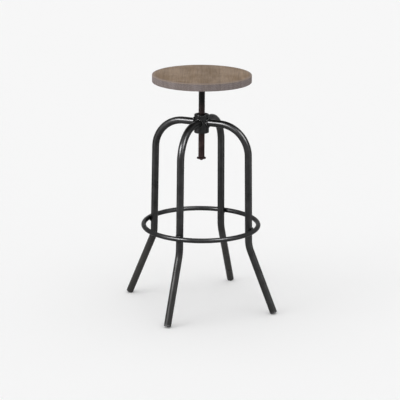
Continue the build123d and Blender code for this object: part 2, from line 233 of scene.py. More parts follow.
# The stage: floor, camera and lamps. Places of lamps are degrees round from the camera and up from the floor.
FLOOR_SIDES, FLOOR_RADIUS, FLOOR_DROP = 64, 40.0, 0.0002
WHITE = (1.0, 1.0, 1.0, 1.0)
SENSOR_WIDTH = 36.0
FAR_CLIP = 200.0
OVERHEAD_PLACE = (-40, 84)
SIDE_PLACE = (-66, 14)
LAMP_DISTANCE = 2.5
LAMP_AIM = Vector((0, 0, 0.45))
LAMP_POWER = 4  # for each square metre of a lamp with a brightness of one
Softbox = namedtuple("Softbox", "name place size glow distance", defaults=(LAMP_DISTANCE,))
SOFTBOXES = (
    Softbox("key_softbox", place=(-49, 31), size=(1.2, 0.85), glow="key_glow"),
    Softbox("front_softbox", place=(0, 46), size=(1.6, 0.8), glow="front_glow"),
    Softbox("fill_softbox", place=(43, 40), size=(1.1, 1.1), glow="fill_glow"),
    Softbox("left_strip", place=(-62, -8), size=(0.25, 0.6), glow="strip_glow", distance=1.1),
    Softbox("right_strip", place=(66, -8), size=(0.25, 0.6), glow="strip_glow", distance=1.1),
)


class StoolSeatSettings(bpy.types.PropertyGroup):
    """Sizes and colours of the wooden seat."""

    diameter: FloatProperty(
        name="Diameter", description="Width of the round seat board", unit="LENGTH",
        default=SEAT_HIGH[0] - SEAT_LOW[0],
    )
    thickness: FloatProperty(
        name="Thickness", description="Thickness of the seat board", unit="LENGTH",
        default=SEAT_HIGH[2] - SEAT_LOW[2],
    )
    top_round: FloatProperty(
        name="Top rounding", description="Rounding of the upper edge", unit="LENGTH", default=0.003,
    )
    bottom_round: FloatProperty(
        name="Bottom rounding", description="Rounding of the lower edge", unit="LENGTH", default=0.0015,
    )
    stave_width: FloatProperty(
        name="Stave width", description="Width of one glued stave of the board", unit="LENGTH",
        default=0.0575,
    )
    stave_shift: FloatProperty(
        name="Stave shift", description="Shift of the staves across the board", unit="LENGTH",
        default=0.0025,
    )
    grain_angle: FloatProperty(
        name="Grain angle", description="Direction of the grain, from the X axis", unit="ROTATION",
        default=math.radians(68.5),
    )
    sides: IntProperty(name="Sides", description="Steps round the edge of the board", default=256)
    top_color: FloatVectorProperty(
        name="Face wood", description="Middle tone of the weathered face", subtype="COLOR",
        default=(0.229, 0.167, 0.116),
    )
    end_color: FloatVectorProperty(
        name="End grain", description="Middle tone of the edge of the board", subtype="COLOR",
        default=(0.206, 0.173, 0.165),
    )


class StoolMetalSettings(bpy.types.PropertyGroup):
    """Sizes and colours of the screw, the steel frame and its plugs."""

    tube_radius: FloatProperty(
        name="Leg tube radius", description="Outer radius of the leg tubes", unit="LENGTH", default=0.0113,
    )
    arm_height: FloatProperty(
        name="Arm height", description="Height of the middle of the arms at the hub", unit="LENGTH",
        default=0.597,
    )
    shoulder_radius: FloatProperty(
        name="Shoulder radius", description="Distance of the upper corner from the axis", unit="LENGTH",
        default=0.1568,
    )
    shoulder_bend: FloatProperty(
        name="Shoulder bend", description="Radius of the upper bend", unit="LENGTH", default=0.096,
    )
    knee_radius: FloatProperty(
        name="Knee radius", description="Distance of the lower corner from the axis", unit="LENGTH",
        default=0.1644,
    )
    knee_height: FloatProperty(
        name="Knee height", description="Height of the lower corner", unit="LENGTH", default=0.214,
    )
    knee_bend: FloatProperty(
        name="Knee bend", description="Radius of the lower bend", unit="LENGTH", default=0.092,
    )
    leg_splay: FloatProperty(
        name="Leg splay", description="Outward slope of the feet, from upright", unit="ROTATION",
        default=math.radians(22.9),
    )
    leg_end_height: FloatProperty(
        name="Leg end height", description="Height of the middle of the tube's lower end", unit="LENGTH",
        default=0.0077,
    )
    arm_start: FloatProperty(
        name="Arm start", description="Distance from the axis where the tube ends in the hub's wall",
        unit="LENGTH", default=0.019,
    )
    thread_pitch: FloatProperty(
        name="Thread pitch", description="Rise of the screw in one turn", unit="LENGTH", default=0.004,
    )
    thread_depth: FloatProperty(
        name="Thread depth", description="Depth of the thread's groove", unit="LENGTH", default=0.0016,
    )
    thread_crest: FloatProperty(
        name="Thread crest", description="Width of the flat on the thread", unit="LENGTH", default=0.0021,
    )
    thread_flank: FloatProperty(
        name="Thread flank", description="Slope of the thread's sides", unit="ROTATION",
        default=math.radians(15),
    )
    spigot_radius: FloatProperty(
        name="Spigot radius", description="Radius of the screw's plain upper end", unit="LENGTH",
        default=0.0075,
    )
    spigot_length: FloatProperty(
        name="Spigot length", description="Length of the screw's plain upper end", unit="LENGTH",
        default=0.020,
    )
    hub_bead: FloatProperty(
        name="Hub bead", description="Radius of a weld ripple at the hub", unit="LENGTH", default=0.0033,
    )
    ring_bead: FloatProperty(
        name="Ring bead", description="Radius of a weld ripple at the foot ring", unit="LENGTH",
        default=0.0024,
    )
    paint_color: FloatVectorProperty(
        name="Paint", description="Colour of the dark paint", subtype="COLOR",
        default=(0.032, 0.032, 0.0325),
    )
    screw_color: FloatVectorProperty(
        name="Screw steel", description="Colour of the oiled screw", subtype="COLOR",
        default=(0.042, 0.028, 0.027),
    )
    plug_color: FloatVectorProperty(
        name="Plug", description="Colour of the plastic foot plugs", subtype="COLOR",
        default=(0.016, 0.016, 0.016),
    )


class StoolStageSettings(bpy.types.PropertyGroup):
    """Camera, light and floor of the picture."""

    view_angle: FloatProperty(
        name="View angle", description="Direction of the camera round the stool", unit="ROTATION",
        default=math.radians(-21.48),
    )
    camera_distance: FloatProperty(
        name="Camera distance", description="Distance from the stool's axis, along the floor",
        unit="LENGTH", default=4.7955,
    )
    camera_height: FloatProperty(
        name="Camera height", description="Height of the camera over the floor", unit="LENGTH",
        default=1.6939,
    )
    camera_pitch: FloatProperty(
        name="Camera pitch", description="Downward tilt of the camera", unit="ROTATION",
        default=math.radians(15.723),
    )
    camera_yaw: FloatProperty(
        name="Camera yaw", description="Small turn of the camera to its left", unit="ROTATION",
        default=math.radians(0.040),
    )
    camera_roll: FloatProperty(
        name="Camera roll", description="Small roll of the camera", unit="ROTATION",
        default=math.radians(0.396),
    )
    lens: FloatProperty(
        name="Lens", description="Focal length on a 36 mm sensor, in millimetres", default=141.54,
    )
    floor_color: FloatVectorProperty(
        name="Floor", description="Colour of the pale floor and backdrop", subtype="COLOR",
        default=(0.921, 0.921, 0.921),
    )
    sky_level: FloatProperty(name="Sky level", description="Light from all around", default=0.72)
    overhead_level: FloatProperty(
        name="Overhead level", description="Light of the wide lamp overhead", default=0.62,
    )
    overhead_spread: FloatProperty(
        name="Overhead spread", description="Angle that the lamp overhead takes up", unit="ROTATION",
        default=math.radians(75),
    )
    side_level: FloatProperty(
        name="Side level", description="Light of the low lamp on the left", default=1.15,
    )
    side_spread: FloatProperty(
        name="Side spread", description="Angle that the low lamp takes up", unit="ROTATION",
        default=math.radians(50),
    )
    key_glow: FloatProperty(
        name="Key glow", description="Brightness of the left softbox in reflections", default=36.0,
    )
    front_glow: FloatProperty(
        name="Front glow", description="Brightness of the front softbox in reflections", default=1.0,
    )
    fill_glow: FloatProperty(
        name="Fill glow", description="Brightness of the right softbox in reflections", default=20.0,
    )
    strip_glow: FloatProperty(
        name="Strip glow", description="Brightness of the two low strips in reflections", default=1.8,
    )


def deselect_all():
    """Leave nothing selected, so that an operator acts only on what it is given."""
    if bpy.context.object and bpy.context.object.mode != "OBJECT":
        bpy.ops.object.mode_set(mode="OBJECT")
    bpy.ops.object.select_all(action="DESELECT")


def settle(piece):
    """Put a finished piece's place into its mesh and leave its object at the origin."""
    deselect_all()
    piece.select_set(True)
    bpy.context.view_layer.objects.active = piece
    bpy.ops.object.transform_apply(location=True, rotation=True, scale=True)


def select_edges(piece, test):
    """In edit mode, select the edges whose two ends both pass a test of their place."""
    mesh = bmesh.from_edit_mesh(piece.data)
    bpy.ops.mesh.select_all(action="DESELECT")
    bpy.ops.mesh.select_mode(type="EDGE")
    for edge in mesh.edges:
        if all(test(vert.co) for vert in edge.verts):
            edge.select_set(True)
    bmesh.update_edit_mesh(piece.data)


def shader_node(tree, kind, settings=None, **values):
    """Add a shader node, set its own settings and the values of its input sockets."""
    node = tree.nodes.new(kind)
    for key, value in (settings or {}).items():
        setattr(node, key, value)
    for key, value in values.items():
        node.inputs[key.replace("_", " ")].default_value = value
    return node


def feed(tree, value, socket):
    """Link a (node, output) pair to an input socket, or set the socket to a plain value."""
    if isinstance(value, tuple) and hasattr(value[0], "outputs"):
        node, output = value
        tree.links.new(node.outputs[output], socket)
    else:
        socket.default_value = value


def new_finish(name):
    """Start a material and return its node tree and main shader."""
    finish = bpy.data.materials.new(name)
    finish.use_nodes = True
    return finish.node_tree, finish.node_tree.nodes["Principled BSDF"]


def dress(piece, *names):
    """Give a piece the finishes with these names and no others."""
    piece.data.materials.clear()
    for name in names:
        piece.data.materials.append(bpy.data.materials[name])


def object_space(tree, rotation=(0, 0, 0), stretch=(1, 1, 1)):
    """Object coordinates in a frame that is turned first and then squeezed along each axis."""
    place = shader_node(tree, "ShaderNodeTexCoord")
    mapping = shader_node(
        tree, "ShaderNodeMapping", {"vector_type": "TEXTURE"},
        Rotation=rotation, Scale=tuple(1 / part for part in stretch),
    )
    feed(tree, (place, "Object"), mapping.inputs["Vector"])
    return mapping, "Vector"


def axes(tree, space):
    """A node with the three coordinates of a mapped space as outputs."""
    parts = shader_node(tree, "ShaderNodeSeparateXYZ")
    feed(tree, space, parts.inputs["Vector"])
    return parts


def noise(tree, space, pattern):
    """A noise texture in a mapped space."""
    texture = shader_node(
        tree, "ShaderNodeTexNoise",
        Scale=pattern.scale, Detail=pattern.detail, Roughness=pattern.roughness,
    )
    feed(tree, space, texture.inputs["Vector"])
    return texture, "Fac"


def tone_ramp(tree, pattern, stops):
    """A colour ramp over a pattern, given as (place, colour) stops."""
    ramp = shader_node(tree, "ShaderNodeValToRGB")
    while len(ramp.color_ramp.elements) < len(stops):
        ramp.color_ramp.elements.new(1.0)
    for element, (place, color) in zip(ramp.color_ramp.elements, stops):
        element.position = place
        element.color = (*color, 1.0)
    feed(tree, pattern, ramp.inputs["Fac"])
    return ramp, "Color"


def shade_ramp(tree, pattern, color, shades):
    """A ramp of lighter and darker versions of a colour, given as (place, factor) stops."""
    return tone_ramp(tree, pattern, [(place, tinted(color, factor)) for place, factor in shades])


def mix_color(tree, first, second, share, blend="MIX"):
    """Mix two colours; each is a (node, output) pair or a plain colour, the share a pair or a number."""
    mixer = shader_node(tree, "ShaderNodeMix", {"data_type": "RGBA", "blend_type": blend})
    feed(tree, share, mixer.inputs[MIX_SHARE])
    for number, color in ((MIX_FIRST, first), (MIX_SECOND, second)):
        feed(tree, color if hasattr(color[0], "outputs") else (*color, 1.0), mixer.inputs[number])
    return mixer, MIX_RESULT


def arithmetic(tree, operation, first, second=0.0, third=0.0):
    """A math node; each input is a (node, output) pair or a number."""
    node = shader_node(tree, "ShaderNodeMath", {"operation": operation})
    for socket, value in zip(node.inputs, (first, second, third)):
        feed(tree, value, socket)
    return node, "Value"


def remap(tree, value, source, target=(0.0, 1.0)):
    """Rescale a value from one range to another, held at its ends."""
    node = shader_node(
        tree, "ShaderNodeMapRange",
        From_Min=source[0], From_Max=source[1], To_Min=target[0], To_Max=target[1],
    )
    feed(tree, value, node.inputs["Value"])
    return node, "Result"


def bump(tree, shader, height, strength, distance):
    """Raise the surface by a height pattern."""
    node = shader_node(tree, "ShaderNodeBump", Strength=strength, Distance=distance)
    feed(tree, height, node.inputs["Height"])
    feed(tree, (node, "Normal"), shader.inputs["Normal"])


def tinted(color, factor):
    """A lighter or darker version of a colour."""
    return tuple(part * factor for part in color)


def stave_tones(tree, parts, settings, middle, spread):
    """Glued staves side by side, each with a tone of its own and a thin dark joint between them."""
    half = settings.diameter / 2
    first_joint = half % settings.stave_width + settings.stave_shift
    tones = shader_node(tree, "ShaderNodeValToRGB")
    tones.color_ramp.interpolation = "CONSTANT"
    for number, factor in enumerate(STAVE_TONES):
        joint = max(0.0, (first_joint + (number - 1) * settings.stave_width) / settings.diameter)
        element = tones.color_ramp.elements[0] if number == 0 else tones.color_ramp.elements.new(joint)
        element.position = joint
        element.color = (*tinted(middle, 1 + (factor - 1) * spread), 1.0)
    tones.color_ramp.elements.remove(tones.color_ramp.elements[-1])
    feed(tree, remap(tree, (parts, "Y"), (-half, half)), tones.inputs["Fac"])
    shifted = arithmetic(tree, "ADD", (parts, "Y"), half - first_joint)
    offset = arithmetic(tree, "PINGPONG", shifted, settings.stave_width / 2)
    joint_line = remap(tree, offset, (0.0, JOINT_WIDTH), (JOINT_SHARE, 0.0))
    return (tones, "Color"), joint_line, shifted


def add_marks(tree, wood, middle, patterns, marks):
    """Lay lighter and darker marks over the wood."""
    for mark in marks:
        mask = remap(tree, patterns[mark.pattern], mark.levels, (0.0, mark.share))
        wood = mix_color(tree, wood, tinted(middle, mark.tone), mask)
    return wood


def wood_finish(name, middle, settings, edge):
    """Weathered grey-brown wood: staves, fibres, growth rings, pores, smudges and a worn rim, whose pale top
    line is partly a painted highlight and whose foot carries a painted shade.
    """
    tree, shader = new_finish(name)
    turn = (0, 0, settings.grain_angle)
    plain = object_space(tree, turn)
    parts = axes(tree, plain)
    patterns = {
        key: noise(tree, object_space(tree, turn, pattern.stretch), pattern)
        for key, pattern in WOOD_PATTERNS.items()
    }
    bands = shader_node(tree, "ShaderNodeTexWave", {"bands_direction": "Y"}, **BANDS)
    feed(tree, object_space(tree, turn, BANDS_STRETCH), bands.inputs["Vector"])
    patterns["bands"] = (bands, "Fac")

    spread = EDGE_STAVE_SPREAD if edge else FACE_STAVE_SPREAD
    wood, joint_line, shifted = stave_tones(tree, parts, settings, middle, spread)
    for overlay in WOOD_OVERLAYS:
        tones = tone_ramp(tree, patterns[overlay.pattern], overlay.stops)
        share = overlay.edge_share if edge else overlay.face_share
        wood = mix_color(tree, wood, tones, share, "OVERLAY")
    wood = add_marks(tree, wood, middle, patterns, WOOD_MARKS)
    wood = mix_color(tree, wood, tinted(middle, JOINT_TONE), joint_line)
    if edge:
        wood = ring_arches(tree, wood, middle, settings, parts, shifted, patterns["fibre"])
        wood = edge_marks_and_painted_light(tree, wood, middle, settings, parts)
    else:
        wood = face_wear(tree, wood, settings, plain)
    feed(tree, wood, shader.inputs["Base Color"])
    rough = remap(tree, patterns["fibre"], FIBRE_LEVELS, WOOD_ROUGHNESS)
    feed(tree, rough, shader.inputs["Roughness"])
    shader.inputs["Specular IOR Level"].default_value = WOOD_GLOSS
    height = arithmetic(tree, "MULTIPLY_ADD", patterns["pores"], -PORE_SINK, patterns["fibre"])
    bump(tree, shader, height, WOOD_RELIEF, WOOD_RELIEF_DEPTH)


def ring_arches(tree, wood, middle, settings, parts, shifted, fibre):
    """On the rim: the growth rings of each stave, cut across as arches with a middle of their own."""
    place = arithmetic(tree, "DIVIDE", shifted, settings.stave_width)
    number = arithmetic(tree, "FLOOR", place)
    wander = arithmetic(tree, "SINE", arithmetic(tree, "MULTIPLY", number, HEART_WANDER))
    heart = arithmetic(tree, "MULTIPLY_ADD", wander, HEART_SWING, HEART_MIDDLE)
    aside = arithmetic(tree, "SUBTRACT", arithmetic(tree, "FRACT", place), heart)
    across = arithmetic(tree, "MULTIPLY", aside, settings.stave_width)
    depth = arithmetic(tree, "MULTIPLY_ADD", wander, HEART_DEPTH_SWING, SEAT_LOW[2] - HEART_DEPTH)
    rise = arithmetic(tree, "SUBTRACT", (parts, "Z"), depth)
    square = arithmetic(tree, "MULTIPLY", rise, rise)
    reach = arithmetic(tree, "SQRT", arithmetic(tree, "MULTIPLY_ADD", across, across, square))
    uneven = arithmetic(tree, "MULTIPLY_ADD", fibre, GROWTH_WAVER, reach)
    waves = arithmetic(tree, "SINE", arithmetic(tree, "MULTIPLY", uneven, 2 * math.pi / GROWTH_SPACING))
    dark_rings = remap(tree, waves, GROWTH_LEVELS, (0.0, GROWTH_SHARE))
    return mix_color(tree, wood, tinted(middle, GROWTH_TONE), dark_rings)


def face_wear(tree, wood, settings, plain):
    """On the face: a narrow ring next to the rim, greyed by handling."""
    flat = shader_node(tree, "ShaderNodeVectorMath", {"operation": "MULTIPLY"})
    feed(tree, plain, flat.inputs[0])
    flat.inputs[1].default_value = (1, 1, 0)
    reach = shader_node(tree, "ShaderNodeVectorMath", {"operation": "LENGTH"})
    feed(tree, (flat, "Vector"), reach.inputs[0])
    half = settings.diameter / 2
    band = (half - FACE_WEAR_WIDTH, half - settings.top_round)
    ring = remap(tree, (reach, "Value"), band, (0.0, FACE_WEAR_SHARE))
    return mix_color(tree, wood, tinted(settings.end_color, FACE_WEAR_TONE), ring)


def edge_marks_and_painted_light(tree, wood, middle, settings, parts):
    """On the rim: upright saw ticks, a pale line round the top that is partly rubbed wear and partly a
    painted highlight where the rounded edge catches light, and a painted shade at its foot.
    """
    ticks = noise(tree, object_space(tree, stretch=TICKS.stretch), TICKS)
    wood = add_marks(tree, wood, middle, {"ticks": ticks}, TICK_MARKS)
    # Painted highlight, partly wear: a pale line on the rounded upper edge of the rim.
    top = SEAT_HIGH[2] - settings.top_round
    line = (top + RUB_AND_HIGHLIGHT_START, SEAT_HIGH[2] - RUB_AND_HIGHLIGHT_END)
    rub_and_highlight = remap(tree, (parts, "Z"), line, (0.0, RUB_AND_HIGHLIGHT_SHARE))
    wood = mix_color(tree, wood, tinted(settings.top_color, RUB_AND_HIGHLIGHT_TONE), rub_and_highlight)
    # Painted shade: the rim darkens towards its foot, next to the board's underside.
    foot = (SEAT_LOW[2], SEAT_LOW[2] + PAINTED_FOOT_SHADE_HEIGHT)
    painted_foot_shade = remap(tree, (parts, "Z"), foot, (PAINTED_FOOT_SHADE_SHARE, 0.0))
    return mix_color(tree, wood, tinted(middle, PAINTED_FOOT_SHADE_TONE), painted_foot_shade)


def paint_finish(name, frame_color):
    """Gunmetal paint on steel: faint mottling, uneven gloss, a grain in relief and dust low down."""
    paint = PAINTS[name]
    tree, shader = new_finish(name)
    plain = object_space(tree)
    parts = axes(tree, plain)
    mottle = noise(tree, plain, Pattern(paint.mottle, detail=MOTTLE_DETAIL))
    peel = noise(tree, plain, Pattern(paint.grain))
    specks = noise(tree, plain, DUST_SPECKS)
    tones = shade_ramp(tree, mottle, tinted(frame_color, paint.shade), MOTTLE_SHADES)
    low_down = remap(tree, (parts, "Z"), DUST_HEIGHTS)
    behind = remap(tree, (parts, "Y"), DUST_DEPTHS, DUST_DEPTH_SHARES)
    speckled = remap(tree, specks, SPECK_LEVELS, SPECK_SHARES)
    dust = arithmetic(tree, "MULTIPLY", arithmetic(tree, "MULTIPLY", low_down, behind), speckled)
    coat = mix_color(tree, tones, DUST_COLOR, arithmetic(tree, "MULTIPLY", dust, DUST_SHARE))
    feed(tree, coat, shader.inputs["Base Color"])
    uneven = tuple(paint.roughness * part for part in MOTTLE_GLOSS)
    feed(tree, remap(tree, mottle, MOTTLE_LEVELS, uneven), shader.inputs["Roughness"])
    sheen = arithmetic(tree, "MULTIPLY_ADD", dust, -DUST_DULLING, METAL_LEVEL)
    feed(tree, sheen, shader.inputs["Metallic"])
    shader.inputs["Specular IOR Level"].default_value = PAINT_GLOSS
    shader.inputs["Specular Tint"].default_value = METAL_TINT
    bump(tree, shader, peel, paint.relief, GRAIN_DEPTH / paint.grain)


def steel_finish(name, color):
    """Oiled, blackened steel with brown stains, fine turning marks round the axis, and painted shade: a
    darker grey above the hub, where the seat shades the screw.
    """
    tree, shader = new_finish(name)
    plain = object_space(tree)
    parts = axes(tree, plain)
    stain = noise(tree, plain, STEEL_STAIN)
    marks = noise(tree, object_space(tree, stretch=STEEL_MARKS.stretch), STEEL_MARKS)
    tones = shade_ramp(tree, stain, color, STAIN_SHADES)
    # Painted shade: above the hub the steel turns a darker grey, standing in for the seat's shadow on the
    # screw.
    painted_shade = remap(tree, (parts, "Z"), (HUB_HIGH[2] - PAINTED_SHADE_BELOW, HUB_HIGH[2] + PAINTED_SHADE_ABOVE))
    coat = mix_color(tree, tones, tinted((color[1],) * 3, PAINTED_SHADE_TONE), painted_shade)
    feed(tree, coat, shader.inputs["Base Color"])
    shader.inputs["Metallic"].default_value = METAL_LEVEL
    shader.inputs["Specular Tint"].default_value = METAL_TINT
    feed(tree, remap(tree, stain, STAIN_LEVELS, STEEL_ROUGHNESS), shader.inputs["Roughness"])
    bump(tree, shader, marks, STEEL_RELIEF, STEEL_RELIEF_DEPTH)


def plug_finish(name, color):
    """Matt black plastic with a fine moulded grain and scuffs."""
    tree, shader = new_finish(name)
    plain = object_space(tree)
    grain = noise(tree, plain, PLUG_GRAIN)
    scuffs = noise(tree, plain, PLUG_SCUFFS)
    feed(tree, shade_ramp(tree, scuffs, color, SCUFF_SHADES), shader.inputs["Base Color"])
    shader.inputs["Roughness"].default_value = PLUG_ROUGHNESS
    bump(tree, shader, grain, PLUG_RELIEF, PLUG_RELIEF_DEPTH)


def ripple(name, radius):
    """One weld ripple: a small ball, flattened along its own X axis."""
    deselect_all()
    bpy.ops.mesh.primitive_uv_sphere_add(segments=RIPPLE_SEGMENTS, ring_count=RIPPLE_RINGS, radius=radius)
    drop = bpy.context.object
    drop.name = name
    bpy.ops.object.mode_set(mode="EDIT")
    bpy.ops.mesh.select_all(action="SELECT")
    bpy.ops.transform.resize(value=(RIPPLE_FLATNESS, 1.0, 1.0))
    bpy.ops.object.mode_set(mode="OBJECT")
    return drop


def lay_ripples(name, drop, places):
    """Copy a ripple along (place, direction) pairs, fuse the copies into one bead and smooth it."""
    copies = []
    for place, direction in places:
        copy = drop.copy()
        copy.data = drop.data.copy()
        turn = direction.to_track_quat("X", "Z").to_matrix().to_4x4()
        copy.matrix_world = Matrix.Translation(place) @ turn
        bpy.context.collection.objects.link(copy)
        copies.append(copy)
    deselect_all()
    for copy in copies:
        copy.select_set(True)
    bpy.context.view_layer.objects.active = copies[0]
    bpy.ops.object.join()
    bead = bpy.context.object
    bead.name = name
    settle(bead)
    fuse = bead.modifiers.new("fuse", "REMESH")
    fuse.mode = "VOXEL"
    fuse.voxel_size = BEAD_VOXEL
    bpy.ops.object.modifier_apply(modifier=fuse.name)
    soften = bead.modifiers.new("soften", "SMOOTH")
    soften.iterations = BEAD_SMOOTHING
    bpy.ops.object.modifier_apply(modifier=soften.name)
    bpy.ops.object.shade_smooth()
    return bead


def upright_lean(metal):
    """Outward slope of the uprights between the two bends."""
    return (metal.knee_radius - metal.shoulder_radius) / (metal.arm_height - metal.knee_height)


def outward(angle):
    """Level direction from the stool's axis at an angle in degrees."""
    return Vector((math.cos(math.radians(angle)), math.sin(math.radians(angle)), 0.0))


class STOOL_OT_finish_frame(bpy.types.Operator):
    """Make the finishes of steel and plastic, and dress the CAD pieces that show"""

    bl_idname = "stool.finish_frame"
    bl_label = "Finish Frame"

    def execute(self, context):
        metal = context.scene.stool_metal
        for name in PAINTS:
            paint_finish(name, metal.paint_color)
        steel_finish("blackened_steel", metal.screw_color)
        plug_finish("black_plastic", metal.plug_color)
        for name, nodes in FINISHED_NODES.items():
            for node in nodes:
                dress(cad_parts[node], name)
        return {"FINISHED"}


class STOOL_OT_seat_board(bpy.types.Operator):
    """Model the round wooden seat board with its rounded edges"""

    bl_idname = "stool.seat_board"
    bl_label = "Seat Board"

    def execute(self, context):
        seat = context.scene.stool_seat
        middle = (SEAT_LOW[2] + SEAT_HIGH[2]) / 2
        deselect_all()
        bpy.ops.mesh.primitive_cylinder_add(
            vertices=seat.sides, radius=seat.diameter / 2, depth=seat.thickness, location=(0, 0, middle),
        )
        board = context.object
        board.name = "seat_board_wood"
        bpy.ops.object.mode_set(mode="EDIT")
        for level, rounding in ((1, seat.top_round), (-1, seat.bottom_round)):
            face_level = level * seat.thickness / 2
            select_edges(board, lambda place: abs(place.z - face_level) < seat.bottom_round / 10)
            bpy.ops.mesh.bevel(offset=rounding, segments=ROUND_SEGMENTS, affect="EDGES")
        bpy.ops.object.mode_set(mode="OBJECT")
        settle(board)
        bpy.ops.object.shade_smooth_by_angle(angle=BOARD_SHARP)
        wood_finish("seat_face_wood", seat.top_color, seat, edge=False)
        wood_finish("seat_edge_wood", seat.end_color, seat, edge=True)
        dress(board, "seat_face_wood", "seat_edge_wood")
        for face in board.data.polygons:
            face.material_index = 0 if face.normal.z > TOP_SLOPE else 1
        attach(board, "seat")
        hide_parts("seat_board")
        return {"FINISHED"}


class STOOL_OT_lift_screw(bpy.types.Operator):
    """Model the lifting screw with its helical thread and the plain spigot at its top"""

    bl_idname = "stool.lift_screw"
    bl_label = "Lifting Screw"

    def execute(self, context):
        metal = context.scene.stool_metal
        crest = SCREW_RADIUS
        root = crest - metal.thread_depth
        flank = metal.thread_depth * math.tan(metal.thread_flank)
        outline = (
            (crest, 0.0), (crest, metal.thread_crest), (root, metal.thread_crest + flank),
            (root, metal.thread_pitch - flank), (crest, metal.thread_pitch),
        )
        start = SCREW_LOW[2] - metal.thread_pitch
        thread_top = SCREW_HIGH[2] - metal.spigot_length
        turns = math.ceil((thread_top - start) / metal.thread_pitch) + 1
        deselect_all()
        bpy.ops.mesh.primitive_plane_add(size=metal.thread_pitch)
        screw = context.object
        screw.name = "lift_screw_thread"
        self.draw_outline(screw, [Vector((radius, 0, start + rise)) for radius, rise in outline])
        wind = screw.modifiers.new("wind", "SCREW")
        wind.axis = "Z"
        wind.screw_offset = metal.thread_pitch
        wind.iterations = turns
        wind.steps = wind.render_steps = THREAD_STEPS
        wind.use_merge_vertices = True
        wind.merge_threshold = WIND_MERGE
        bpy.ops.object.modifier_apply(modifier=wind.name)
        self.trim(SCREW_LOW[2], thread_top)
        spigot_middle = (thread_top + SCREW_HIGH[2]) / 2
        bpy.ops.mesh.primitive_cylinder_add(
            vertices=SPIGOT_SIDES, radius=metal.spigot_radius, depth=metal.spigot_length,
            location=(0, 0, spigot_middle),
        )
        screw.select_set(True)
        context.view_layer.objects.active = screw
        bpy.ops.object.join()
        settle(screw)
        bpy.ops.object.shade_smooth_by_angle(angle=SCREW_SHARP)
        dress(screw, "blackened_steel")
        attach(screw, "seat")
        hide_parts("lift_screw")
        return {"FINISHED"}

    def draw_outline(self, screw, points):
        """Turn the starting plane into the open outline of one thread."""
        bpy.ops.object.mode_set(mode="EDIT")
        mesh = bmesh.from_edit_mesh(screw.data)
        bmesh.ops.delete(mesh, geom=mesh.verts[:], context="VERTS")
        corners = [mesh.verts.new(point) for point in points]
        for first, second in zip(corners, corners[1:]):
            mesh.edges.new((first, second))
        bmesh.update_edit_mesh(screw.data)
        bpy.ops.object.mode_set(mode="OBJECT")

    def trim(self, low, high):
        """Merge the turns of the thread, cut both of its ends square and close them."""
        bpy.ops.object.mode_set(mode="EDIT")
        bpy.ops.mesh.select_all(action="SELECT")
        bpy.ops.mesh.remove_doubles(threshold=TURN_MERGE)
        for level, upper in ((low, False), (high, True)):
            bpy.ops.mesh.select_all(action="SELECT")
            bpy.ops.mesh.bisect(
                plane_co=(0, 0, level), plane_no=(0, 0, 1), use_fill=True,
                clear_inner=not upper, clear_outer=upper, threshold=CUT_THRESHOLD,
            )
        bpy.ops.mesh.select_all(action="SELECT")
        bpy.ops.mesh.normals_make_consistent(inside=False)
        bpy.ops.object.mode_set(mode="OBJECT")


